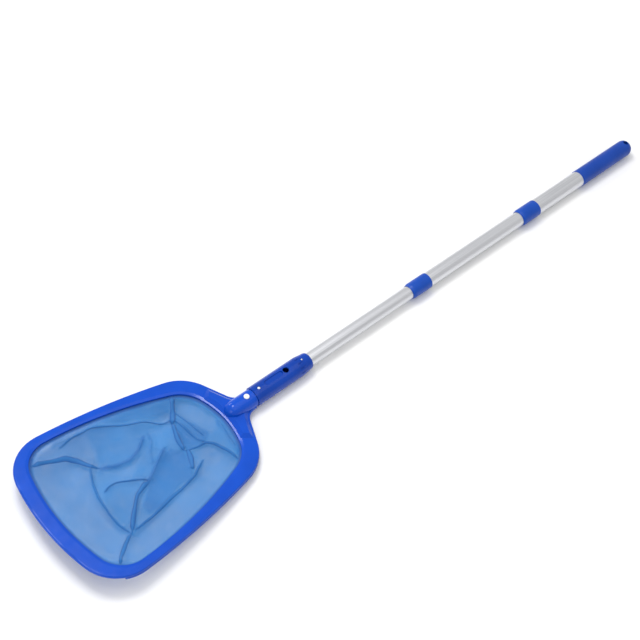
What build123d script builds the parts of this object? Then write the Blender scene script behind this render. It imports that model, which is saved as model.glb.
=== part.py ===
"""Leaf skimmer: a moulded net head clipped on a three-section twist-lock telescopic pole.

Millimetres, +Z up. The pole's axis runs along +X from the head to the grip, level above the floor,
and the head leans up from it by HEAD_PITCH. The origin is on the floor under the middle of the length.
"""

import os

from build123d import *

os.makedirs("parts", exist_ok=True)

# Stations along the pole are measured in millimetres from the root of the head's handle. The adapter is
# the pole's widest part and lies on the floor, so its radius is the axis's height.
ADAPTER_R = 15.3
AXIS_Z = ADAPTER_R
HEAD_PITCH = 4.5
HEAD_DROP = 3.5
LIP_REACH = 340.0
GRIP_END = 866.0
MID_LENGTH = (GRIP_END - LIP_REACH) / 2

# Pole: three tubes, the collars on their mouths, and the grip.
TUBE_WALL = 0.9
INNER_TUBE_R = 10.7
MIDDLE_TUBE_R = 12.0
OUTER_TUBE_R = 13.4
INNER_TUBE_SPAN = (95.0, 375.0)
MIDDLE_TUBE_SPAN = (335.5, 619.0)
OUTER_TUBE_SPAN = (588.0, 838.0)
INNER_COLLAR_R = 12.8
OUTER_COLLAR_R = 14.1
COLLAR_LENGTH = 40.5
COLLAR_LIP = 5.0
COLLAR_BEVEL_DROP = 1.5
COLLAR_EDGE = 0.6
BUSHING_FLANGE = 1.4
GRIP_START = 732.5
GRIP_R = 14.2
GRIP_EDGE = 0.5
GRIP_ROUND = 14.0
PLUG_LENGTH = 7.0
PLUG_CAP = 1.5
HANG_HOLE_STATION = 855.0
HANG_HOLE_R = 4.5
GLUE_GAP = 0.02
RUNNING_GAP = 0.05

# Adapter and the handle that plugs in it.
SPIGOT_R = 13.9
SPIGOT_FIT_R = 13.0
SPIGOT_BORE_R = 10.6
SPIGOT_BORE_START = -4.0
SPIGOT_SHOULDER = 15.0
SPIGOT_END = 70.0
NOSE_CENTRE = -20.0
NOSE_HEEL = -8.0
ADAPTER_BORE_R = 13.08
ADAPTER_SPAN = (15.6, 122.0)
ADAPTER_TAPER = 99.0
ADAPTER_END_R = 12.0
ADAPTER_SHOULDER = 6.0
ADAPTER_SHOULDER_R = 13.7
BUTTON_STATION = 3.2
BUTTON_R = 4.2
LOCK_PIN_STATION = 26.0
LOCK_PIN_R = 2.3
CROSS_HOLE_STATION = 77.0
CROSS_HOLE_R = 4.75
RIVET_STATION = 108.0
RIVET_R = 1.6
LEAF_TOP = 9.2
LEAF_T = 1.0
LEAF_WIDTH = 8.0
LEAF_START = -2.0
FOLD_STATION = 62.0
FOLD_R = 2.5
BUTTON_PROUD = 1.2
BUTTON_DIMPLE = 0.5
PIN_SUNK = 0.1
RECESS_SPAN = (37.0, 71.0)
RECESS_WIDTH = 8.5
RECESS_DEPTH = 1.7
FLUTE_COUNT = 12
FLUTE_R = 1.0
SIDE_GAP = 0.2

# Head: rim outline, its opening, and the layers that clamp the net's hem. Points are in the head's own
# plane, in millimetres from the root of the handle.
RIM_T = 4.1
HEM_GAP = 0.6
RING_T = 3.0
LIP_SAG_R = 351.0
SIDE_HALF_WIDTH = 126.5
SIDE_MIDDLE = (-190.0, 118.5)
BACK_CORNER = (-39.0, 89.5)
LIP_CORNER_R = 62.0
BACK_CORNER_R = 66.0
NECK_STATION = -4.0
NECK_R = 22.0
RIM_ROOT = 12.0
OPENING_REACH = 318.0
OPENING_BACK = 37.5
OPENING_FRONT_SAG_R = 312.0
OPENING_BACK_SAG_R = 120.0
OPENING_HALF_WIDTH = 112.0
OPENING_BACK_HALF_WIDTH = 67.0
OPENING_SIDE_MIDDLE = (-185.0, 103.5)
OPENING_FRONT_R = 44.0
OPENING_BACK_R = 50.0
RIM_ROUND = 2.4
BEVEL_WIDTH = 4.0
BEVEL_DROP = 1.2
PAD_HEIGHT = 4.5
PAD_DRAFT = 50.0
PAD_REACH = 58.0
PAD_INSET = 3.5
PAD_SETBACK = 2.5
RING_CLEARANCE = 1.6
RING_PROUD = 0.4
RING_REACH = 331.0
RING_FRONT_CORNER = (-323.0, 84.0)
RING_NOTCH = (-298.0, 115.0)
RING_KINK = (-296.0, 140.0)
RING_BACK = -25.0
HEM_INSET = 4.5
HEM_SIZE = 2.4
BAG_WALL = 1.1
BAG_REACH = 40.0
FLOOR_GAP = 0.1
SCREW_SPOTS = [(-325, 50), (-240, 119), (-150, 108), (-70, 82), (-28.5, 30)]
SCREW_R = 1.3
SCREW_HEAD_R = 2.6
SCREW_HEAD_T = 1.4
SCREW_DEPTH = 6.0

head_top = Plane(origin=(-MID_LENGTH, 0, AXIS_Z - HEAD_DROP)).rotated((0, HEAD_PITCH, 0))
side_plane = Plane(origin=(-MID_LENGTH, 0, AXIS_Z), x_dir=(1, 0, 0), z_dir=(0, -1, 0))
rim_underside = head_top.offset(-RIM_T)
ring_top = rim_underside.offset(-HEM_GAP)
floor = Plane(origin=(0, 0, FLOOR_GAP))
screw_points = [(x, side * y) for x, y in SCREW_SPOTS for side in (1, -1)]


def station(x):
    """Plane square to the pole's axis at a station, facing the grip."""
    return Plane(origin=(x - MID_LENGTH, 0, AXIS_Z), x_dir=(0, 1, 0), z_dir=(1, 0, 0))


def above_axis(x, height=0.0):
    """Level plane above the pole's axis at a station."""
    return Plane(origin=(x - MID_LENGTH, 0, AXIS_Z + height))


def sag(half_width, radius):
    """How far an arc of this radius falls back at half its width."""
    return half_width**2 / (2 * radius)


def top_edges(builder):
    """The edges of the head's top face, without the short ones inside the handle."""
    def on_top(edge):
        centre = head_top.to_local_coords(edge.center())
        return abs(centre.Z) < 0.01 and centre.X < RIM_ROOT - 1
    return builder.edges().filter_by(on_top)


def top_face(builder):
    """The head's flat top face."""
    return builder.faces().filter_by(lambda f: abs(head_top.to_local_coords(f.center()).Z) < 0.01)[0]


def corner_pair(outline, corner):
    """The vertices of an outline at a corner and at its mirror image across the pole."""
    x, y = corner
    return [v for v in outline.vertices() if abs(v.X - x) < 0.01 and abs(abs(v.Y) - y) < 0.01]


def save(part, name):
    """Label a finished piece and write its file."""
    part.label = name
    export_step(part, f"parts/{name}.step")


def redraw_grown(face, plane, grow):
    """A flat outline grown or shrunk all round, redrawn on a plane with plain lines and arcs."""
    with BuildSketch() as grown:
        add(face)
        offset(amount=grow, kind=Kind.ARC)
    with BuildSketch(plane) as outline:
        with BuildLine():
            for edge in grown.edges():
                if edge.geom_type == GeomType.LINE:
                    Line(edge @ 0, edge @ 1)
                else:
                    ThreePointArc(edge @ 0, edge @ 0.5, edge @ 1)
        make_face()
    return outline.sketch


def rim_outline(plane, grow=0.0):
    """Outer outline of the head: curved lip, bulged sides, and a back that flares into the handle."""
    lip_corner = (-LIP_REACH + sag(SIDE_HALF_WIDTH, LIP_SAG_R), SIDE_HALF_WIDTH)
    neck = (NECK_STATION, SPIGOT_R)
    with BuildSketch(Plane.XY if grow else plane) as outline:
        with BuildLine():
            ThreePointArc((lip_corner[0], -lip_corner[1]), (-LIP_REACH, 0), lip_corner)
            side = ThreePointArc(lip_corner, SIDE_MIDDLE, BACK_CORNER)
            back = Polyline(BACK_CORNER, neck, (RIM_ROOT, SPIGOT_R), (RIM_ROOT, 0))
            mirror((side, back), about=Plane.XZ)
        make_face()
        fillet(corner_pair(outline, lip_corner), LIP_CORNER_R)
        fillet(corner_pair(outline, BACK_CORNER), BACK_CORNER_R)
        fillet(corner_pair(outline, neck), NECK_R)
    return redraw_grown(outline.sketch, plane, grow) if grow else outline.sketch


def opening_outline(plane, grow=0.0):
    """Outline of the opening in the head, grown or shrunk all round."""
    front_corner = (-OPENING_REACH + sag(OPENING_HALF_WIDTH, OPENING_FRONT_SAG_R), OPENING_HALF_WIDTH)
    back_x = -OPENING_BACK - sag(OPENING_BACK_HALF_WIDTH, OPENING_BACK_SAG_R)
    back_corner = (back_x, OPENING_BACK_HALF_WIDTH)
    with BuildSketch(Plane.XY if grow else plane) as outline:
        with BuildLine():
            ThreePointArc((front_corner[0], -front_corner[1]), (-OPENING_REACH, 0), front_corner)
            ThreePointArc((back_corner[0], -back_corner[1]), (-OPENING_BACK, 0), back_corner)
            side = ThreePointArc(front_corner, OPENING_SIDE_MIDDLE, back_corner)
            mirror(side, about=Plane.XZ)
        make_face()
        fillet(corner_pair(outline, front_corner), OPENING_FRONT_R)
        fillet(corner_pair(outline, back_corner), OPENING_BACK_R)
    return redraw_grown(outline.sketch, plane, grow) if grow else outline.sketch


def hem_groove(plane):
    """Outline of the groove under the rim that the hem's cord lies in."""
    return opening_outline(plane, HEM_INSET + HEM_SIZE) - opening_outline(plane, HEM_INSET)


def pad_outline(plane):
    """Outline of the raised pad between the handle, the opening's back and the flared shoulders."""
    inside = rim_outline(Plane.XY, -PAD_INSET)
    with BuildSketch(plane) as outline:
        Circle(PAD_REACH)
        add(inside, mode=Mode.INTERSECT)
        add(opening_outline(Plane.XY, PAD_SETBACK), mode=Mode.SUBTRACT)
    return outline.sketch


def ring_outline(plane):
    """Outer outline of the lower ring: a little proud of the sides, set back behind the front lip."""
    front_x, front_y = RING_FRONT_CORNER
    side_y = RING_KINK[1]
    grown = rim_outline(Plane.XY, RING_PROUD)
    with BuildSketch(plane) as outline:
        with BuildLine():
            ThreePointArc((front_x, -front_y), (-RING_REACH, 0), RING_FRONT_CORNER)
            side = Polyline(RING_FRONT_CORNER, RING_NOTCH, RING_KINK, (RING_BACK, side_y), (RING_BACK, 0))
            mirror(side, about=Plane.XZ)
        make_face()
        add(grown, mode=Mode.INTERSECT)
    return outline.sketch


# Head frame: one moulding of rim, gusset and round-nosed handle.
with BuildPart() as handle:
    nose_tip = NOSE_CENTRE - SPIGOT_R
    arc_middle = SPIGOT_R * 0.5**0.5
    with BuildSketch(side_plane):
        with BuildLine():
            ThreePointArc((nose_tip, 0), (NOSE_CENTRE - arc_middle, arc_middle), (NOSE_CENTRE, SPIGOT_R))
            Polyline((NOSE_CENTRE, SPIGOT_R), (SPIGOT_SHOULDER, SPIGOT_R), (SPIGOT_SHOULDER, SPIGOT_FIT_R),
                     (SPIGOT_END, SPIGOT_FIT_R), (SPIGOT_END, 0), (nose_tip, 0))
        make_face()
    revolve(axis=Axis((0, 0, AXIS_Z), (1, 0, 0)))
    with BuildSketch(rim_underside):
        with Locations((NOSE_HEEL, 0)):
            Rectangle(3 * SPIGOT_R, 3 * SPIGOT_R, align=(Align.MAX, Align.CENTER))
    extrude(amount=-2 * SPIGOT_R, mode=Mode.SUBTRACT)
with BuildPart() as head_frame:
    extrude(rim_outline(head_top), amount=-RIM_T)
    fillet(top_edges(head_frame), RIM_ROUND)
    outer_edges = top_edges(head_frame)
    extrude(opening_outline(head_top), amount=-RIM_T, mode=Mode.SUBTRACT)
    inner_edges = top_edges(head_frame) - outer_edges
    chamfer(inner_edges, length=BEVEL_WIDTH, length2=BEVEL_DROP, reference=top_face(head_frame))
    extrude(pad_outline(head_top), amount=PAD_HEIGHT, taper=PAD_DRAFT)
    add(handle.part)
    with BuildSketch(station(SPIGOT_BORE_START)):
        Circle(SPIGOT_BORE_R)
    extrude(amount=SPIGOT_END - SPIGOT_BORE_START, mode=Mode.SUBTRACT)
    with BuildSketch(above_axis(BUTTON_STATION)):
        Circle(BUTTON_R + SIDE_GAP)
    with BuildSketch(above_axis(LOCK_PIN_STATION)):
        Circle(LOCK_PIN_R + SIDE_GAP)
    extrude(amount=ADAPTER_R + 4, both=True, mode=Mode.SUBTRACT)
    extrude(hem_groove(rim_underside), amount=HEM_SIZE, mode=Mode.SUBTRACT)
    with BuildSketch(rim_underside):
        with Locations(*screw_points):
            Circle(SCREW_R)
    extrude(amount=SCREW_DEPTH - RING_T - HEM_GAP, mode=Mode.SUBTRACT)
save(head_frame.part, "head_frame")

# Hem cord: the bead in the net's hem, in a groove under the rim.
with BuildPart() as hem_cord:
    extrude(hem_groove(rim_underside), amount=HEM_SIZE)
save(hem_cord.part, "hem_cord")

# Net bag: a thin wall that hangs from the clamped hem and lies flat on the floor.
BAG_OUTSIDE = RING_CLEARANCE - SIDE_GAP
BAG_INSIDE = BAG_OUTSIDE - BAG_WALL
with BuildPart() as bag_hollow:
    extrude(opening_outline(rim_underside, BAG_INSIDE), amount=-BAG_REACH)
    split(bisect_by=floor.offset(BAG_WALL), keep=Keep.TOP)
with BuildPart() as net_bag:
    extrude(opening_outline(rim_underside, HEM_INSET), amount=-HEM_GAP)
    extrude(opening_outline(ring_top, BAG_OUTSIDE), amount=-BAG_REACH)
    split(bisect_by=floor, keep=Keep.TOP)
    add(bag_hollow.part, mode=Mode.SUBTRACT)
save(net_bag.part, "net_bag")

# Retaining ring: the lower half of the rim, which clamps the hem from below.
with BuildPart() as retaining_ring:
    extrude(ring_outline(ring_top), amount=-RING_T)
    extrude(opening_outline(ring_top, RING_CLEARANCE), amount=-RING_T, mode=Mode.SUBTRACT)
    with BuildSketch(ring_top):
        with Locations(*screw_points):
            Circle(SCREW_R)
    extrude(amount=-RING_T, mode=Mode.SUBTRACT)
    with BuildSketch(ring_top.offset(-RING_T)):
        with Locations(*screw_points):
            Circle(SCREW_HEAD_R + SIDE_GAP)
    extrude(amount=SCREW_HEAD_T, mode=Mode.SUBTRACT)
save(retaining_ring.part, "retaining_ring")

# Ring screws: pan heads sunk in the ring's underside.
with BuildPart() as ring_screws:
    with BuildSketch(ring_top.offset(-RING_T)):
        with Locations(*screw_points):
            Circle(SCREW_HEAD_R)
    extrude(amount=SCREW_HEAD_T)
    with BuildSketch(ring_top.offset(-RING_T)):
        with Locations(*screw_points):
            Circle(SCREW_R)
    extrude(amount=SCREW_DEPTH)
save(ring_screws.part, "ring_screws")

# Clip spring: a V of sprung strip inside the handle, with its fold towards the pole.
with BuildPart() as clip_spring:
    leaf_mid = LEAF_TOP - LEAF_T / 2
    leaf_bend = LOCK_PIN_STATION + 6
    with BuildSketch(side_plane):
        with BuildLine() as leaf:
            Polyline((LEAF_START, leaf_mid), (leaf_bend, leaf_mid), (FOLD_STATION, FOLD_R))
            ThreePointArc((FOLD_STATION, FOLD_R), (FOLD_STATION + FOLD_R, 0), (FOLD_STATION, -FOLD_R))
            Polyline((FOLD_STATION, -FOLD_R), (leaf_bend, -leaf_mid), (LEAF_START, -leaf_mid))
        trace(leaf.line, LEAF_T)
    extrude(amount=LEAF_WIDTH / 2, both=True)
save(clip_spring.part, "clip_spring")

# Finger buttons and lock pins, above and below the axis. A button has a dimple for the fingertip.
for side, word in ((1, "top"), (-1, "bottom")):
    leaf_face = Plane(origin=(-MID_LENGTH, 0, AXIS_Z + side * LEAF_TOP), x_dir=(1, 0, 0), z_dir=(0, 0, side))
    with BuildPart() as press_button:
        with BuildSketch(leaf_face):
            with Locations((BUTTON_STATION, 0)):
                Circle(BUTTON_R)
        extrude(amount=SPIGOT_R + BUTTON_PROUD - LEAF_TOP)
        crown = press_button.faces().sort_by(Axis.Z)[-1 if side > 0 else 0]
        fillet(crown.edges(), 1.0)
        with BuildSketch(leaf_face.offset(SPIGOT_R + BUTTON_PROUD - LEAF_TOP)):
            with Locations((BUTTON_STATION, 0)):
                Circle(BUTTON_R / 2)
        extrude(amount=-BUTTON_DIMPLE, mode=Mode.SUBTRACT)
    save(press_button.part, f"press_button_{word}")
    with BuildPart() as lock_pin:
        with BuildSketch(leaf_face):
            with Locations((LOCK_PIN_STATION, 0)):
                Circle(LOCK_PIN_R)
        extrude(amount=ADAPTER_R - PIN_SUNK - LEAF_TOP)
        crown = lock_pin.faces().sort_by(Axis.Z)[-1 if side > 0 else 0]
        fillet(crown.edges(), 1.2)
    save(lock_pin.part, f"lock_pin_{word}")

# Pole adapter: socket for the handle, snap holes, a second pair of holes, and a fluted taper.
with BuildPart() as pole_adapter:
    mouth, end = ADAPTER_SPAN
    with BuildSketch(side_plane):
        with BuildLine():
            Polyline((mouth, ADAPTER_BORE_R + 0.7), (mouth + 0.7, ADAPTER_BORE_R),
                     (INNER_TUBE_SPAN[0], ADAPTER_BORE_R), (INNER_TUBE_SPAN[0], INNER_TUBE_R + GLUE_GAP),
                     (end, INNER_TUBE_R + GLUE_GAP), (end, ADAPTER_END_R))
            Spline((end, ADAPTER_END_R), (end - ADAPTER_SHOULDER, ADAPTER_SHOULDER_R),
                   (ADAPTER_TAPER, ADAPTER_R), tangents=[(-1, 1.2), (-1, 0)])
            Polyline((ADAPTER_TAPER, ADAPTER_R), (mouth + 0.5, ADAPTER_R), (mouth, ADAPTER_R - 0.5),
                     (mouth, ADAPTER_BORE_R + 0.7))
        make_face()
    revolve(axis=Axis((0, 0, AXIS_Z), (1, 0, 0)))
    with BuildSketch(above_axis(LOCK_PIN_STATION)):
        Circle(LOCK_PIN_R + SIDE_GAP)
    with BuildSketch(above_axis(CROSS_HOLE_STATION)):
        Circle(CROSS_HOLE_R)
    with BuildSketch(above_axis(RIVET_STATION)):
        Circle(RIVET_R + GLUE_GAP)
    extrude(amount=ADAPTER_R + 4, both=True, mode=Mode.SUBTRACT)
    for side in (1, -1):
        with BuildSketch(above_axis(sum(RECESS_SPAN) / 2, side * (ADAPTER_R - RECESS_DEPTH))):
            SlotOverall(RECESS_SPAN[1] - RECESS_SPAN[0], RECESS_WIDTH)
        extrude(amount=side * 4, mode=Mode.SUBTRACT)
    with BuildSketch(station(ADAPTER_TAPER - 1)):
        with PolarLocations(ADAPTER_R - 0.2, FLUTE_COUNT, start_angle=15):
            Circle(FLUTE_R)
    extrude(amount=16, mode=Mode.SUBTRACT)
save(pole_adapter.part, "pole_adapter")

# Adapter rivet: holds the adapter on the tube, with a rounded end on each side.
with BuildPart() as adapter_rivet:
    with BuildSketch(above_axis(RIVET_STATION)):
        Circle(RIVET_R)
    extrude(amount=ADAPTER_R - 0.5, both=True)
    fillet(adapter_rivet.edges().filter_by(GeomType.CIRCLE), 0.7)
save(adapter_rivet.part, "adapter_rivet")


def tube(name, span, radius, rivet_hole=False):
    """A plain drawn tube between two stations."""
    with BuildPart() as part:
        with BuildSketch(station(span[0])):
            Circle(radius)
            Circle(radius - TUBE_WALL, mode=Mode.SUBTRACT)
        extrude(amount=span[1] - span[0])
        if rivet_hole:
            with BuildSketch(above_axis(RIVET_STATION)):
                Circle(RIVET_R + GLUE_GAP)
            extrude(amount=radius + 2, both=True, mode=Mode.SUBTRACT)
    save(part.part, name)


tube("inner_tube", INNER_TUBE_SPAN, INNER_TUBE_R, rivet_hole=True)
tube("middle_tube", MIDDLE_TUBE_SPAN, MIDDLE_TUBE_R)
tube("outer_tube", OUTER_TUBE_SPAN, OUTER_TUBE_R)


def collar(name, mouth, outer_r, carrying_r, sliding_r):
    """A collar glued on a tube's mouth, bevelled towards the head, rounded towards the grip."""
    start = mouth - COLLAR_LIP
    end = start + COLLAR_LENGTH
    flange = mouth - BUSHING_FLANGE
    mouth_r = sliding_r + 0.3
    edge_sag = COLLAR_EDGE * (1 - 0.5**0.5)
    with BuildPart() as part:
        with BuildSketch(side_plane):
            with BuildLine():
                Polyline((start, mouth_r), (flange, mouth_r), (flange, carrying_r + GLUE_GAP),
                         (end, carrying_r + GLUE_GAP), (end, outer_r - COLLAR_EDGE))
                ThreePointArc((end, outer_r - COLLAR_EDGE), (end - edge_sag, outer_r - edge_sag),
                              (end - COLLAR_EDGE, outer_r))
                Polyline((end - COLLAR_EDGE, outer_r), (mouth, outer_r),
                         (start, outer_r - COLLAR_BEVEL_DROP), (start, mouth_r))
            make_face()
        revolve(axis=Axis((0, 0, AXIS_Z), (1, 0, 0)))
    save(part.part, name)


def bushing(name, mouth, carrying_r, sliding_r, length=24.0):
    """A flanged guide in a tube's mouth, a running fit on the tube that slides in it."""
    with BuildPart() as part:
        with BuildSketch(station(mouth - BUSHING_FLANGE)):
            Circle(carrying_r - 0.1)
        extrude(amount=BUSHING_FLANGE)
        with BuildSketch(station(mouth)):
            Circle(carrying_r - TUBE_WALL - GLUE_GAP)
        extrude(amount=length)
        with BuildSketch(station(mouth - BUSHING_FLANGE)):
            Circle(sliding_r + RUNNING_GAP)
        extrude(amount=length + BUSHING_FLANGE, mode=Mode.SUBTRACT)
    save(part.part, name)


def cam_lock(prefix, tube_end, carried_r, mate_r):
    """Twist lock in a tube's hidden end: a plug with an eccentric pin, a split ring on it, a screw."""
    plug_length, flange_t, ring_length = 22.0, 2.0, 13.0
    pin_r, eccentricity = 4.0, 0.5
    ring_start = tube_end + flange_t + 0.4
    pin_end = ring_start + ring_length + 0.4
    with BuildPart() as plug:
        with BuildSketch(station(tube_end - plug_length)):
            Circle(carried_r - TUBE_WALL - GLUE_GAP)
        extrude(amount=plug_length)
        with BuildSketch(station(tube_end)):
            Circle(carried_r - 0.1)
        extrude(amount=flange_t)
        with BuildSketch(station(tube_end + flange_t)):
            with Locations((0, eccentricity)):
                Circle(pin_r)
        extrude(amount=pin_end - tube_end - flange_t)
        with BuildSketch(station(tube_end - 6)):
            Circle(1.5)
        extrude(amount=pin_end - tube_end + 6, mode=Mode.SUBTRACT)
    save(plug.part, f"{prefix}_cam_plug")
    with BuildPart() as ring:
        with BuildSketch(station(ring_start)):
            Circle(mate_r - 0.35)
            Circle(pin_r + 2 * eccentricity + 0.3, mode=Mode.SUBTRACT)
            with Locations((mate_r, 0)):
                Rectangle(mate_r * 2, 2.4, mode=Mode.SUBTRACT)
            with PolarLocations(mate_r - 0.35, 9, start_angle=40):
                Circle(0.8, mode=Mode.SUBTRACT)
        extrude(amount=ring_length)
    save(ring.part, f"{prefix}_cam_ring")
    with BuildPart() as screw:
        with BuildSketch(station(tube_end - 6)):
            Circle(1.5 - GLUE_GAP)
        extrude(amount=pin_end - tube_end + 6)
        with BuildSketch(station(pin_end)):
            Circle(pin_r + 2.4)
        extrude(amount=2)
        with BuildSketch(station(pin_end + 2)):
            Rectangle(1.2, 9)
        extrude(amount=-0.8, mode=Mode.SUBTRACT)
    save(screw.part, f"{prefix}_cam_screw")


collar("inner_collar", MIDDLE_TUBE_SPAN[0], INNER_COLLAR_R, MIDDLE_TUBE_R, INNER_TUBE_R)
collar("outer_collar", OUTER_TUBE_SPAN[0], OUTER_COLLAR_R, OUTER_TUBE_R, MIDDLE_TUBE_R)
bushing("inner_bushing", MIDDLE_TUBE_SPAN[0], MIDDLE_TUBE_R, INNER_TUBE_R)
bushing("outer_bushing", OUTER_TUBE_SPAN[0], OUTER_TUBE_R, MIDDLE_TUBE_R)
cam_lock("inner", INNER_TUBE_SPAN[1], INNER_TUBE_R, MIDDLE_TUBE_R - TUBE_WALL)
cam_lock("outer", MIDDLE_TUBE_SPAN[1], MIDDLE_TUBE_R, OUTER_TUBE_R - TUBE_WALL)

# Grip: a closed sleeve with a rounded end and a hang hole, over the plugged end of the outer tube.
with BuildPart() as grip_sleeve:
    bore_end = OUTER_TUBE_SPAN[1] + PLUG_CAP + 0.3
    round_start = GRIP_END - GRIP_ROUND
    edge_sag = GRIP_EDGE * (1 - 0.5**0.5)
    with BuildSketch(side_plane):
        with BuildLine():
            Polyline((bore_end, 0), (bore_end, OUTER_TUBE_R + GLUE_GAP),
                     (GRIP_START, OUTER_TUBE_R + GLUE_GAP), (GRIP_START, GRIP_R - GRIP_EDGE))
            ThreePointArc((GRIP_START, GRIP_R - GRIP_EDGE), (GRIP_START + edge_sag, GRIP_R - edge_sag),
                          (GRIP_START + GRIP_EDGE, GRIP_R))
            Line((GRIP_START + GRIP_EDGE, GRIP_R), (round_start, GRIP_R))
            Spline((round_start, GRIP_R), (GRIP_END - 4, 0.73 * GRIP_R), (GRIP_END, 0),
                   tangents=[(1, 0), (0, -1)])
            Line((GRIP_END, 0), (bore_end, 0))
        make_face()
    revolve(axis=Axis((0, 0, AXIS_Z), (1, 0, 0)))
    with BuildSketch(above_axis(HANG_HOLE_STATION)):
        Circle(HANG_HOLE_R)
    extrude(amount=GRIP_R + 1, both=True, mode=Mode.SUBTRACT)
save(grip_sleeve.part, "grip_sleeve")

# Tube end plug: closes the outer tube under the grip.
with BuildPart() as tube_end_plug:
    with BuildSketch(station(OUTER_TUBE_SPAN[1] - PLUG_LENGTH)):
        Circle(OUTER_TUBE_R - TUBE_WALL - GLUE_GAP)
    extrude(amount=PLUG_LENGTH)
    with BuildSketch(station(OUTER_TUBE_SPAN[1])):
        Circle(OUTER_TUBE_R - 0.1)
    extrude(amount=PLUG_CAP)
save(tube_end_plug.part, "tube_end_plug")
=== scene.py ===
from math import cos, pi, radians, sin

import bpy
import numpy as np
from mathutils import Matrix, Vector
from mathutils.geometry import convex_hull_2d


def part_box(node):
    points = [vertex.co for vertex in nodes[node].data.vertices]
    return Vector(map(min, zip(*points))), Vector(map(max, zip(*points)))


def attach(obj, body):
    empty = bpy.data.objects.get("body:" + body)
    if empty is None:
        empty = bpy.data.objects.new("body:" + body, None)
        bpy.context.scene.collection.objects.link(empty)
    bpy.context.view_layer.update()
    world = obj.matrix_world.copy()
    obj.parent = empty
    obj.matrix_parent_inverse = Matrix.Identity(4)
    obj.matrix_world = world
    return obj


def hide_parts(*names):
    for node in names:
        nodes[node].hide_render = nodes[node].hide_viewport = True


# Leaf skimmer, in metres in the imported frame: the pole along +X, +Z up, the floor at z = 0.
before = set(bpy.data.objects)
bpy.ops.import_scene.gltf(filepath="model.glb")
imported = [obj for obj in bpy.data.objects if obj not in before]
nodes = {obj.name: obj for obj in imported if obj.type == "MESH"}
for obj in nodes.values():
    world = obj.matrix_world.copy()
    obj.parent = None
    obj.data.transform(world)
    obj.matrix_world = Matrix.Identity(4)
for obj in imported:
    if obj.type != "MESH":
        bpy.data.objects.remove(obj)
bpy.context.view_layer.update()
MM = 0.001


# ---------------------------------------------------------------------------------------------
# Small helpers for node materials
# ---------------------------------------------------------------------------------------------


def add_node(tree, kind, inputs=None, **properties):
    """A shader node with its properties set, and its inputs set or linked."""
    item = tree.nodes.new("ShaderNode" + kind)
    for key, value in properties.items():
        setattr(item, key, value)
    for key, value in (inputs or {}).items():
        if isinstance(value, bpy.types.NodeSocket):
            tree.links.new(value, item.inputs[key])
        else:
            item.inputs[key].default_value = value
    return item


def math(tree, operation, a, b=0.0):
    """The value of one Math node."""
    return add_node(tree, "Math", {0: a, 1: b}, operation=operation).outputs[0]


def map_range(tree, value, low, high, to_low, to_high):
    """The value carried from one range to another, clamped."""
    limits = {"Value": value, "From Min": low, "From Max": high, "To Min": to_low, "To Max": to_high}
    return add_node(tree, "MapRange", limits).outputs[0]


def noise(tree, coords, scale, detail=3.0, stretch=None):
    """Noise with a scale in features per metre, and stretched along an axis if asked."""
    if stretch:
        coords = add_node(tree, "Mapping", {"Vector": coords, "Scale": stretch}).outputs[0]
    return add_node(tree, "TexNoise", {"Vector": coords, "Scale": scale, "Detail": detail}).outputs["Fac"]


def ramp(tree, value, low, high, dark, light):
    """A colour between dark and light as the value goes from low to high."""
    item = add_node(tree, "ValToRGB", {"Fac": value})
    for element, position, colour in zip(item.color_ramp.elements, (low, high), (dark, light)):
        element.position = position
        element.color = (*colour, 1.0)
    return item.outputs["Color"]


def bump(tree, height, distance, strength=1.0, normal=None):
    """A bump whose full height is distance, in metres, on top of another normal if given."""
    inputs = {"Height": height, "Distance": distance, "Strength": strength}
    if normal:
        inputs["Normal"] = normal
    return add_node(tree, "Bump", inputs).outputs["Normal"]


def start_material(name, **constants):
    """A material with the shader's constant values set, its node tree, and object coordinates."""
    material = bpy.data.materials.new(name)
    material.use_nodes = True
    tree = material.node_tree
    shader = tree.nodes["Principled BSDF"]
    for key, value in constants.items():
        shader.inputs[key.replace("_", " ")].default_value = value
    return material, tree, shader, add_node(tree, "TexCoord").outputs["Object"]


def connect(tree, shader, **links):
    """Links each value to the shader's input of that name."""
    for key, value in links.items():
        tree.links.new(value, shader.inputs[key.replace("_", " ")])


# ---------------------------------------------------------------------------------------------
# Materials
# ---------------------------------------------------------------------------------------------


def moulded_plastic(name, dark, light, rough, grain_size, grain_depth):
    """Moulded plastic: faint clouds of colour, a slow wave in the face, a fine grain and light scuffs."""
    material, tree, shader, coords = start_material(name, IOR=1.49, Specular_IOR_Level=0.3)
    clouds = noise(tree, coords, 28.0)
    colour = ramp(tree, clouds, 0.3, 0.7, dark, light)
    scuffs = noise(tree, coords, 260.0, 5.0, stretch=(1.0, 5.0, 1.0))
    worn = map_range(tree, scuffs, 0.62, 0.75, 0.0, 0.14)
    base = map_range(tree, noise(tree, coords, 90.0), 0.3, 0.7, rough * 0.85, rough * 1.2)
    wave = bump(tree, noise(tree, coords, 22.0, 1.0), 0.25 * MM, 0.6)
    grain = bump(tree, noise(tree, coords, 1 / grain_size, 2.0), grain_depth, 1.0, wave)
    connect(tree, shader, Base_Color=colour, Roughness=math(tree, "ADD", base, worn), Normal=grain)
    return material


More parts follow.
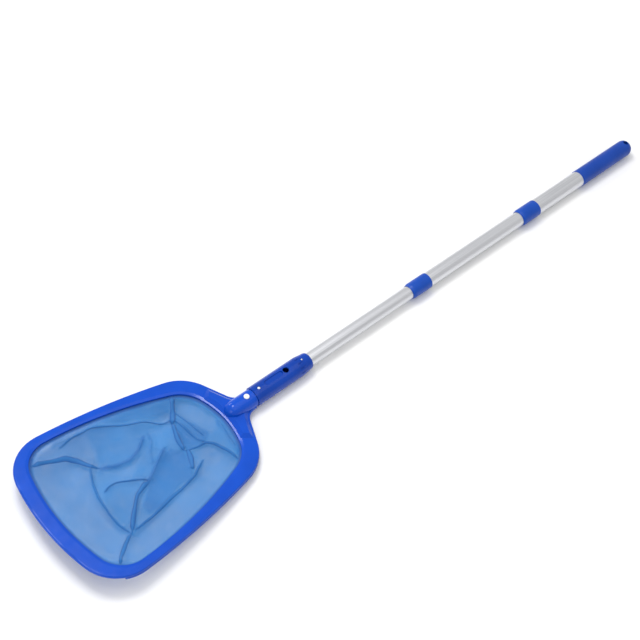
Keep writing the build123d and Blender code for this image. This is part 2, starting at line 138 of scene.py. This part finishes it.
def anodised_tube():
    """Satin anodised aluminium with drawing lines along the tube and a few rub marks."""
    material, tree, shader, coords = start_material("anodised_tube", Metallic=0.85, IOR=1.45)
    lines = noise(tree, coords, 900.0, 3.0, stretch=(0.004, 1.0, 1.0))
    colour = ramp(tree, lines, 0.25, 0.75, (0.60, 0.61, 0.64), (0.76, 0.77, 0.80))
    rubs = map_range(tree, noise(tree, coords, 60.0, 4.0, stretch=(0.15, 1.0, 1.0)), 0.55, 0.75, 0.0, 0.10)
    rough = map_range(tree, lines, 0.3, 0.7, 0.30, 0.42)
    drawn = bump(tree, lines, 0.01 * MM, 0.8)
    connect(tree, shader, Base_Color=colour, Roughness=math(tree, "ADD", rough, rubs), Normal=drawn)
    return material


def steel():
    """Plain steel, slightly dulled."""
    material, tree, shader, coords = start_material("dulled_steel", Metallic=1.0)
    clouds = noise(tree, coords, 400.0, 4.0)
    colour = ramp(tree, clouds, 0.3, 0.7, (0.42, 0.42, 0.43), (0.64, 0.64, 0.66))
    rough = map_range(tree, clouds, 0.3, 0.7, 0.28, 0.45)
    connect(tree, shader, Base_Color=colour, Roughness=rough, Normal=bump(tree, clouds, 0.02 * MM))
    return material


def hem_bead():
    """The dark cord in the hem: a matt twisted strand."""
    material, tree, shader, coords = start_material("hem_bead", Roughness=0.7)
    strand = noise(tree, coords, 1200.0, 2.0)
    colour = ramp(tree, strand, 0.3, 0.7, (0.005, 0.03, 0.16), (0.01, 0.06, 0.28))
    connect(tree, shader, Base_Color=colour, Normal=bump(tree, strand, 0.2 * MM))
    return material


WEAVE_PITCH = 0.9 * MM
THREAD_SHARE = 0.47
PACKED_SHARE = 0.95


def woven_mesh():
    """Fine woven mesh: threads both ways with open holes, closer together where the cloth is gathered, and
    there the dye is mixed to a dark blue as painted shade.
    """
    material, tree, shader, coords = start_material("woven_mesh", Roughness=0.62, Sheen_Weight=0.25)
    uv = add_node(tree, "UVMap", uv_map="cloth").outputs["UV"]
    across = add_node(tree, "SeparateXYZ", {"Vector": uv})
    bunch_and_shade = add_node(tree, "Attribute", attribute_name="bunch_and_shade").outputs["Fac"]
    uneven = map_range(tree, noise(tree, coords, 55.0, 2.0), 0.3, 0.7, -0.04, 0.04)
    share = math(tree, "ADD", map_range(tree, bunch_and_shade, 0.0, 1.0, THREAD_SHARE, PACKED_SHARE), uneven)
    gap = math(tree, "SUBTRACT", 1.0, share)
    heights = []
    for axis in ("X", "Y"):
        turn = math(tree, "PINGPONG", across.outputs[axis], WEAVE_PITCH / 2)
        heights.append(math(tree, "SUBTRACT", math(tree, "DIVIDE", turn, WEAVE_PITCH / 2), gap))
    thread = math(tree, "MAXIMUM", heights[0], heights[1])
    alpha = map_range(tree, thread, -0.04, 0.04, 0.0, 1.0)
    dye = ramp(tree, noise(tree, coords, 16.0, 2.0), 0.3, 0.7, (0.008, 0.180, 0.50), (0.014, 0.225, 0.60))
    # Painted shade: where the cloth is bunched, the dye is mixed towards a dark blue that stands for the
    # shade of folds, doubled layers and the rim's edge, not for a darker thread.
    packed_and_shaded = map_range(tree, bunch_and_shade, 0.15, 1.0, 0.0, 1.0)
    dye_and_painted_shade = add_node(tree, "MixRGB", {"Fac": packed_and_shaded, "Color1": dye, "Color2": (0.002, 0.068, 0.31, 1.0)})
    colour = dye_and_painted_shade.outputs["Color"]
    relief = bump(tree, thread, 0.12 * MM, 0.6)
    connect(tree, shader, Base_Color=colour, Alpha=alpha, Normal=relief)
    return material


def paint(names, material):
    """Gives CAD nodes a material."""
    for name in names:
        data = nodes[name].data
        if not data.materials:
            data.materials.append(material)
        for place in range(len(data.materials)):
            data.materials[place] = material


RIM_BLUE = moulded_plastic("rim_blue", (0.001, 0.062, 0.47), (0.002, 0.074, 0.55), 0.16, 0.9 * MM, 0.004 * MM)
ADAPTER_BLUE = moulded_plastic("adapter_blue", (0.0005, 0.040, 0.32), (0.001, 0.052, 0.40),
                               0.14, 0.7 * MM, 0.01 * MM)
COLLAR_BLUE = moulded_plastic("collar_blue", (0.002, 0.054, 0.36), (0.004, 0.066, 0.42),
                              0.38, 0.5 * MM, 0.02 * MM)
GRIP_BLUE = moulded_plastic("grip_blue", (0.002, 0.044, 0.31), (0.004, 0.055, 0.37),
                            0.42, 0.6 * MM, 0.03 * MM)
BUTTON_WHITE = moulded_plastic("button_white", (0.74, 0.75, 0.77), (0.86, 0.87, 0.88),
                               0.32, 0.5 * MM, 0.008 * MM)
NYLON = moulded_plastic("nylon", (0.60, 0.59, 0.55), (0.70, 0.69, 0.65), 0.5, 0.6 * MM, 0.02 * MM)

paint(["head_frame", "retaining_ring"], RIM_BLUE)
paint(["pole_adapter"], ADAPTER_BLUE)
paint(["inner_collar", "outer_collar"], COLLAR_BLUE)
paint(["grip_sleeve"], GRIP_BLUE)
paint(["press_button_top", "press_button_bottom", "lock_pin_top", "lock_pin_bottom"], BUTTON_WHITE)
paint(["inner_tube", "middle_tube", "outer_tube"], anodised_tube())
paint(["ring_screws", "clip_spring", "adapter_rivet", "inner_cam_screw", "outer_cam_screw"], steel())
paint(["hem_cord"], hem_bead())
paint(["inner_bushing", "outer_bushing", "inner_cam_plug", "outer_cam_plug", "inner_cam_ring",
       "outer_cam_ring", "tube_end_plug"], NYLON)


# ---------------------------------------------------------------------------------------------
# Net bag: one sheet clamped under the rim, that hangs to the floor and lies there in folds
# ---------------------------------------------------------------------------------------------

# The head's top face, which leans up from the pole's axis as in the CAD.
HEAD_PITCH = radians(4.5)
HEAD_DROP = 3.5 * MM
ADAPTER_MOUTH = 15.6 * MM
adapter_low, adapter_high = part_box("pole_adapter")
HEAD_ROOT = Vector((adapter_low[0] - ADAPTER_MOUTH, 0.0, (adapter_low[2] + adapter_high[2]) / 2 - HEAD_DROP))
HEAD_X = Vector((cos(HEAD_PITCH), 0.0, -sin(HEAD_PITCH)))
HEAD_UP = Vector((sin(HEAD_PITCH), 0.0, cos(HEAD_PITCH)))

HEM_DEPTH = 4.4 * MM
HEM_REACH = 4.2 * MM
HEM_MIDDLE_REACH = 2.4 * MM
EDGE_REACH = 0.7 * MM
HEM_OUTLINE_REACH = 4.5 * MM
RIM_POINTS = 760
RING_COUNT = 128
BAG_CENTRE = np.array((-0.180, 0.0))
# Along the clamped hem the cloth is drawn denser and painted darker over this band: partly the doubled hem,
# partly painted shade under the rim's inner edge.
HEM_BAND = 5.5 * MM
HEM_BUNCH_AND_SHADE = 0.95
RIM_MARGIN = 1.5 * MM
FLOOR_CLEARANCE = 0.8 * MM
CREASE_REACH = 2.0 * MM
SWELL_REACH = 4.5 * MM
PATCH_RISE = 1.5 * MM
RIPPLE_HEIGHT = 0.9 * MM
FALL_RUN = 26 * MM
FALL_RUN_PER_HEIGHT = 1.1
FALL_CURVE = 1.5
EDGE_FADE = 10 * MM
FOLD_END_SHARE = 0.12
FOLD_END_LEAST = 0.35
FOLD_SPACING = 1.0 * MM

# Folds and seams, in millimetres in the head's plane: points along the fold, ridge height, spread of
# its flanks, bunching with painted shade, and the width of doubled cloth lying on it. Most of the points
# were marked on the photograph and turned into millimetres by another script, and some were then moved
# by hand.
FOLDS = {
    "front_left_seam": ([(-300, 92), (-290, 90), (-277, 88), (-251, 82), (-238, 70), (-231, 54),
                         (-221, 43)], 9, 13, 0.6, 6.5),
    "front_curve": ([(-232, 51), (-242, 33), (-250, 6), (-253, -23), (-253, -46),
                     (-248, -62)], 6, 11, 0.5, 2.4),
    "front_right_seam": ([(-293, -100), (-283, -88), (-262, -71), (-247, -62)], 9, 12, 0.6, 5.5),
    "centre_pleat": ([(-247, -63), (-229, -43), (-207, -21), (-191, -15), (-179, -14)], 6, 9, 0.4, 6.0),
    "centre_rise": ([(-183, -15), (-168, -6), (-146, 7), (-132, 16)], 5, 8, 0.6, 0),
    "centre_tuck": ([(-180, -12), (-197, 0), (-216, 12), (-229, 13), (-238, 10)], 4, 6, 0.8, 1.6),
    "right_fold": ([(-240, -62), (-211, -60), (-179, -54), (-144, -49), (-127, -46), (-117, -40),
                    (-101, -32)],
                   7, 12, 0.6, 4.0),
    "left_swell": ([(-221, 43), (-201, 33), (-180, 30), (-161, 35), (-143, 49)], 5, 8, 0.6, 0),
    "back_patch": ([(-108, -6), (-113, -20), (-122, -36)], 3, 6, 0.5, 7.0),
    "back_right_seam": ([(-113, -6), (-96, -11), (-80, -13), (-72, -23), (-66, -43),
                         (-64, -66)], 4, 9, 0.6, 3.0),
    "back_left_seam": ([(-70, 80), (-87, 54), (-100, 39)], 5, 9, 0.8, 7.0),
    "left_crease": ([(-95, 45), (-113, 51), (-125, 62), (-137, 68), (-169, 83), (-199, 96),
                     (-233, 99), (-250, 97)],
                    4, 10, 0.5, 2.0),
    "knot_fold": ([(-98, 41), (-109, 15), (-113, -6)], 5, 7, 0.6, 6.5),
    "knot_crease": ([(-94, 42), (-89, 20), (-87, -3), (-80, -14)], 3, 5, 0.5, 2.6),
    "back_crease": ([(-85, 50), (-79, 19), (-76, -4)], 3, 5, 0.5, 1.8),
    "back_line": ([(-46, 4), (-49, -19), (-54, -39), (-58, -57)], 2, 4, 0.45, 0),
    "centre_dimple": ([(-136, 50), (-138, 37), (-152, 22), (-160, 1)], 3, 8, 0.4, 0),
}

# Patches that look doubled or closely bunched: how packed each is, which also sets its painted shade, and
# its outline in the same millimetres. All the outlines were marked on the photograph and converted by
# another script. Each patch is drawn denser and painted darker; the darkness is painted shade of doubled
# layers, of the hollow in the middle and of the band under the far rim.
BUNCHED_SHADED_PATCHES = {
    "pocket": (0.20, [(-208, 103), (-181, 92), (-135, 67), (-102, 41), (-101, 19), (-111, -4), (-128, 14),
                      (-154, 9), (-177, -13), (-201, 3), (-167, 25), (-193, 25), (-219, 47), (-207, 81)]),
    "hollow": (0.44, [(-150, 11), (-125, 12), (-112, -6), (-124, -40), (-133, -48), (-151, -44), (-183, -58),
                      (-211, -55), (-210, -37), (-181, -15)]),
    "lower": (0.14, [(-229, 45), (-182, -7), (-181, -15), (-205, -26), (-238, -53), (-249, -39), (-247, -2)]),
    "far_band": (0.32, [(-250, 120), (-136, 102), (-85, 75), (-71, 70), (-86, 55), (-136, 72), (-181, 92),
                        (-236, 99), (-259, 102)]),
    "back": (0.40, [(-92, 49), (-77, 27), (-65, -4), (-81, -12), (-112, -6), (-108, 19)]),
    "back_edge": (0.18, [(-65, -4), (-49, -6), (-51, -47), (-61, -59), (-77, -13)]),
}
PATCH_SOFTNESS = 6 * MM


def to_world(plan, height):
    """Points given by plan place in the head's plane and world height, as world points."""
    x = HEAD_ROOT.x + plan[:, 0] * HEAD_X.x
    return np.column_stack((x, plan[:, 1], height))


def hem_height(plan, depth):
    """World height of the head's plane, sunk by depth, over points in plan."""
    return HEAD_ROOT.z + plan[:, 0] * HEAD_X.z - depth * HEAD_UP.z


def hem_outline():
    """The clamped hem's outer outline in the head's plane, evenly spaced, and its inward normals."""
    data = nodes["net_bag"].data
    points = np.array([v.co for v in data.vertices]) - np.array(HEAD_ROOT)
    plan = np.column_stack((points @ np.array(HEAD_X), points[:, 1]))
    hull = plan[convex_hull_2d([tuple(p) for p in plan])]
    hull = np.vstack((hull, hull[:1]))
    run = np.concatenate(([0.0], np.cumsum(np.hypot(*np.diff(hull, axis=0).T))))
    spots = np.linspace(0.0, run[-1], RIM_POINTS, endpoint=False)
    line = np.column_stack([np.interp(spots, run, hull[:, k]) for k in (0, 1)])
    along = np.roll(line, -4, axis=0) - np.roll(line, 4, axis=0)
    inward = np.column_stack((-along[:, 1], along[:, 0])) / np.hypot(*along.T)[:, None]
    towards = BAG_CENTRE - line
    inward *= np.sign((inward * towards).sum(axis=1))[:, None]
    return line, inward


def along_line(line, spacing):
    """Points evenly spaced on a smooth curve through the line's points, in metres."""
    line = np.array(line, float) * MM
    t = np.concatenate(([0.0], np.cumsum(np.hypot(*np.diff(line, axis=0).T))))
    spots = np.linspace(0.0, t[-1], max(4, int(t[-1] / spacing)))
    rough = np.column_stack([np.interp(spots, t, line[:, k]) for k in (0, 1)])
    reach = max(1, int(4 * MM / spacing))
    padded = np.vstack([rough[:1]] * reach + [rough] + [rough[-1:]] * reach)
    return np.array([padded[i:i + 2 * reach + 1].mean(axis=0) for i in range(len(rough))])


HEM_LINE, HEM_INWARD = hem_outline()
OPENING_EDGE = HEM_LINE + HEM_INWARD * (HEM_OUTLINE_REACH - EDGE_REACH)


def inset_of(plan):
    """Each point's distance inside the opening's edge, measured on the line from the bag's middle."""
    edge_offset, offset = OPENING_EDGE - BAG_CENTRE, plan - BAG_CENTRE
    edge_angle = np.arctan2(edge_offset[:, 1], edge_offset[:, 0])
    order = np.argsort(edge_angle)
    edge_reach = np.hypot(*edge_offset.T)[order]
    angle = np.arctan2(offset[:, 1], offset[:, 0])
    return np.interp(angle, edge_angle[order], edge_reach, period=2 * pi) - np.hypot(*offset.T)


def fold_line(points):
    """A fold's curve, cut short where it would run under the rim."""
    line = along_line(points, FOLD_SPACING)
    return line[inset_of(line) > RIM_MARGIN]


FOLD_LINES = {name: fold_line(fold[0]) for name, fold in FOLDS.items()}


def nearest_on(plan, line):
    """Each point's distance to a curve, and how far along it, from 0 to 1, its nearest point is."""
    best = np.full(len(plan), 9.0)
    where = np.zeros(len(plan))
    for index, spot in enumerate(line):
        gap = np.hypot(*(plan - spot).T)
        closer = gap < best
        best[closer] = gap[closer]
        where[closer] = index / (len(line) - 1)
    return best, where


def patch_share(plan, outline):
    """How much each point lies in a patch, from 0 outside to 1 inside, with a soft edge."""
    corners = np.array(outline) * MM
    gap = np.full(len(plan), 9.0)
    inside = np.zeros(len(plan), dtype=bool)
    for start, end in zip(corners, np.roll(corners, -1, axis=0)):
        along = end - start
        place = np.clip((plan - start) @ along / (along @ along), 0.0, 1.0)
        gap = np.minimum(gap, np.hypot(*(plan - start - place[:, None] * along).T))
        if start[1] != end[1]:
            crossing = start[0] + (plan[:, 1] - start[1]) * along[0] / along[1]
            inside ^= ((start[1] > plan[:, 1]) != (end[1] > plan[:, 1])) & (plan[:, 0] < crossing)
    return np.clip(0.5 + np.where(inside, gap, -gap) / PATCH_SOFTNESS, 0.0, 1.0)


def drape(plan):
    """World height and gathering of the net over points in plan."""
    top = hem_height(plan, HEM_DEPTH)
    inset = np.maximum(inset_of(plan), 0.0)
    run = FALL_RUN + FALL_RUN_PER_HEIGHT * top
    fall = np.clip(inset / run, 0.0, 1.0)
    height = FLOOR_CLEARANCE + (top - FLOOR_CLEARANCE) * (1 - fall) ** FALL_CURVE
    # Denser, darker band along the hem: partly the doubled hem, partly painted shade under the rim.
    bunch_and_shade = HEM_BUNCH_AND_SHADE * np.exp(-(inset / HEM_BAND) ** 4)
    edge = np.clip(inset / EDGE_FADE, 0.0, 1.0)
    for name, (_, ridge, spread, bunched_and_shaded, doubled) in FOLDS.items():
        gap, where = nearest_on(plan, FOLD_LINES[name])
        ends = np.clip(np.minimum(where, 1 - where) / FOLD_END_SHARE, FOLD_END_LEAST, 1.0)
        flank = np.exp(-gap / (spread * MM))
        height = height + ridge * MM * ends * flank * edge
        reach = CREASE_REACH if doubled else SWELL_REACH
        # Along each fold the cloth is drawn denser and painted darker: painted shade in the crease.
        bunch_and_shade = np.maximum(bunch_and_shade, bunched_and_shaded * np.exp(-(gap / reach) ** 2))
    for packed_and_shaded, outline in BUNCHED_SHADED_PATCHES.values():
        share = patch_share(plan, outline)
        # Patches: denser cloth, painted darker as painted shade.
        bunch_and_shade = np.maximum(bunch_and_shade, packed_and_shaded * share)
        height = height + PATCH_RISE * share * edge
    x, y = plan.T
    ripple = (np.sin(61 * x + 97 * y + 0.6) * np.sin(83 * x - 49 * y) + 0.6 * np.sin(171 * x + 58 * y + 1.9)
              + 0.5 * np.sin(143 * y - 37 * x + 0.4))
    height = height + RIPPLE_HEIGHT * ripple * edge
    return np.clip(height, FLOOR_CLEARANCE * 0.4, top + 0.5 * MM), bunch_and_shade


def sheet_part():
    """The main sheet as rings of points, from the clamped hem to the middle."""
    plans, heights, bunch_and_shade_rings = [], [], []
    for reach in (HEM_REACH, HEM_MIDDLE_REACH, EDGE_REACH):
        plan = HEM_LINE + HEM_INWARD * (HEM_OUTLINE_REACH - reach)
        plans.append(plan)
        heights.append(hem_height(plan, HEM_DEPTH))
        bunch_and_shade_rings.append(np.full(RIM_POINTS, HEM_BUNCH_AND_SHADE))
    for step in range(1, RING_COUNT):
        plan = BAG_CENTRE + (OPENING_EDGE - BAG_CENTRE) * (1 - step / RING_COUNT)
        height, bunch_and_shade = drape(plan)
        plans.append(plan)
        heights.append(height)
        bunch_and_shade_rings.append(bunch_and_shade)
    middle_height, middle_bunch_and_shade = drape(BAG_CENTRE[None, :])
    plans.append(BAG_CENTRE[None, :])
    heights.append(middle_height)
    bunch_and_shade_rings.append(middle_bunch_and_shade)
    plan, height = np.vstack(plans), np.concatenate(heights)
    rings = len(plans) - 1
    index = np.arange(rings * RIM_POINTS).reshape(rings, RIM_POINTS)
    after = np.roll(index, -1, axis=1)
    quads = np.stack((index[:-1], after[:-1], after[1:], index[1:]), axis=-1).reshape(-1, 4)
    fan = [(int(a), int(b), rings * RIM_POINTS) for a, b in zip(index[-1], after[-1])]
    return to_world(plan, height), quads.tolist() + fan, plan, np.concatenate(bunch_and_shade_rings)


def fold_part(name, first):
    """Doubled cloth that lies over along a fold: up, over a rounded edge and back down beside it."""
    width = FOLDS[name][4] * MM
    line = FOLD_LINES[name]
    count = len(line)
    along = np.gradient(line, axis=0)
    side = np.column_stack((-along[:, 1], along[:, 0])) / np.hypot(*along.T)[:, None]
    t = np.linspace(0.0, 1.0, count)
    swell = np.clip(np.minimum(t, 1 - t) / 0.10, 0.15, 1.0) * (1 + 0.18 * np.sin(9 * t + len(name)))
    section = [(-0.5, 0.1), (0.0, 0.35), (0.42, 0.5), (0.5, 0.65), (0.42, 0.8), (0.0, 0.75), (-0.42, 0.45),
               (-0.5, 0.3)]
    # How bunched each line of the strip is: fullest at the turned edges, which the material paints darker as
    # painted shade of the fold.
    packing_and_shade = (1.0, 0.5, 0.7, 1.0, 0.75, 0.4, 0.7, 1.0)
    points, plans = [], []
    run = np.concatenate(([0.0], np.cumsum(np.hypot(*np.diff(line, axis=0).T))))
    for place, (across, lift) in enumerate(section):
        plan = line + side * (across * width * swell)[:, None]
        plans.append(np.column_stack((run, np.full(count, place * width / 3))))
        points.append(to_world(plan, drape(plan)[0] + lift * MM))
    points, plan = np.vstack(points), np.vstack(plans)
    index = first + np.arange(len(section) * count).reshape(len(section), count)
    quads = np.stack((index[:-1, :-1], index[:-1, 1:], index[1:, 1:], index[1:, :-1]), axis=-1).reshape(-1, 4)
    return points, quads.tolist(), plan, np.repeat(packing_and_shade, count)


def net_bag():
    """The whole net: the main sheet and the doubled cloth along its folds, as one mesh."""
    parts = [sheet_part()]
    first = len(parts[0][0])
    for name, fold in FOLDS.items():
        if fold[4]:
            part = fold_part(name, first)
            first += len(part[0])
            parts.append(part)
    points = np.vstack([part[0] for part in parts])
    faces = [face for part in parts for face in part[1]]
    plan = np.vstack([part[2] for part in parts])
    bunch_and_shade = np.concatenate([part[3] for part in parts])
    mesh = bpy.data.meshes.new("net_sheet")
    mesh.from_pydata(points.tolist(), [], faces)
    # The bunching value goes on the mesh, and the material draws denser threads and painted shade from it.
    mesh.attributes.new("bunch_and_shade", "FLOAT", "POINT").data.foreach_set("value", bunch_and_shade.astype(np.float32))
    corners = np.empty(len(mesh.loops), dtype=np.int64)
    mesh.loops.foreach_get("vertex_index", corners)
    layer = mesh.uv_layers.new(name="cloth")
    layer.data.foreach_set("uv", plan[corners].astype(np.float32).ravel())
    mesh.shade_smooth()
    mesh.materials.append(woven_mesh())
    piece = bpy.data.objects.new("net_sheet", mesh)
    bpy.context.scene.collection.objects.link(piece)
    return piece


net = net_bag()
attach(net, "inner_section")
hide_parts("net_bag")


# ---------------------------------------------------------------------------------------------
# Floor, lights and camera
# ---------------------------------------------------------------------------------------------


FLOOR_HALF_WIDTH = 6.0
FLOOR_SUNK = 0.2 * MM


def floor():
    """A large pale floor that runs out of sight, with a faint mottle."""
    material, tree, shader, coords = start_material("pale_floor", Roughness=0.9)
    mottle = noise(tree, coords, 3.0, 2.0)
    connect(tree, shader, Base_Color=ramp(tree, mottle, 0.3, 0.7, (0.90, 0.90, 0.90), (0.93, 0.93, 0.93)))
    half = FLOOR_HALF_WIDTH
    mesh = bpy.data.meshes.new("floor")
    corners = [(-half, -half, 0), (half, -half, 0), (half, half, 0), (-half, half, 0)]
    mesh.from_pydata(corners, [], [(0, 1, 2, 3)])
    mesh.materials.append(material)
    plane = bpy.data.objects.new("floor", mesh)
    plane.location.z = -FLOOR_SUNK
    bpy.context.scene.collection.objects.link(plane)


def softbox(name, direction, distance, size, power, gloss=1.0):
    """A square area light that faces the middle of the object, with its share of the gloss."""
    lamp = bpy.data.lights.new(name, "AREA")
    lamp.specular_factor = gloss
    lamp.shape = "SQUARE"
    lamp.size = size
    lamp.energy = power
    box = bpy.data.objects.new(name, lamp)
    box.location = Vector(direction).normalized() * distance
    box.rotation_euler = (-box.location).to_track_quat("-Z", "Y").to_euler()
    bpy.context.scene.collection.objects.link(box)


def world_light(strength):
    """Even pale light from all round."""
    world = bpy.data.worlds.new("studio")
    world.use_nodes = True
    backdrop = world.node_tree.nodes["Background"]
    backdrop.inputs["Color"].default_value = (1.0, 1.0, 1.0, 1.0)
    backdrop.inputs["Strength"].default_value = strength
    bpy.context.scene.world = world


CAMERA_PLACE = (-0.9799, -0.7265, 1.5800)
CAMERA_RIGHT = (0.7425, -0.6621, 0.1020)
CAMERA_FORWARD = (0.4595, 0.3925, -0.7967)
SENSOR_WIDTH = 36.0
FOCAL_LENGTH = 73.125


def camera():
    """The photograph's viewpoint: over the near side of the head, rolled so the pole rises to the right."""
    lens = bpy.data.cameras.new("camera")
    lens.sensor_width = SENSOR_WIDTH
    lens.lens = FOCAL_LENGTH
    right = Vector(CAMERA_RIGHT).normalized()
    forward = Vector(CAMERA_FORWARD).normalized()
    up = right.cross(forward).normalized()
    right = forward.cross(up)
    view = bpy.data.objects.new("camera", lens)
    turn = Matrix((right, up, -forward)).transposed()
    view.matrix_world = Matrix.Translation(CAMERA_PLACE) @ turn.to_4x4()
    bpy.context.scene.collection.objects.link(view)
    bpy.context.scene.camera = view


floor()
world_light(0.60)
softbox("overhead_fill", (0.0, -0.15, 1.0), 3.0, 3.0, 22.0, gloss=0.02)
softbox("key_softbox", (-0.10, 0.36, 0.93), 2.4, 0.8, 26.0, gloss=0.6)
softbox("side_softbox", (-0.04, 0.89, 0.44), 2.4, 0.7, 8.0)
softbox("front_softbox", (-0.85, -0.20, 0.50), 2.6, 1.2, 8.0, gloss=0.1)
camera()
bpy.context.scene.view_settings.view_transform = "Standard"
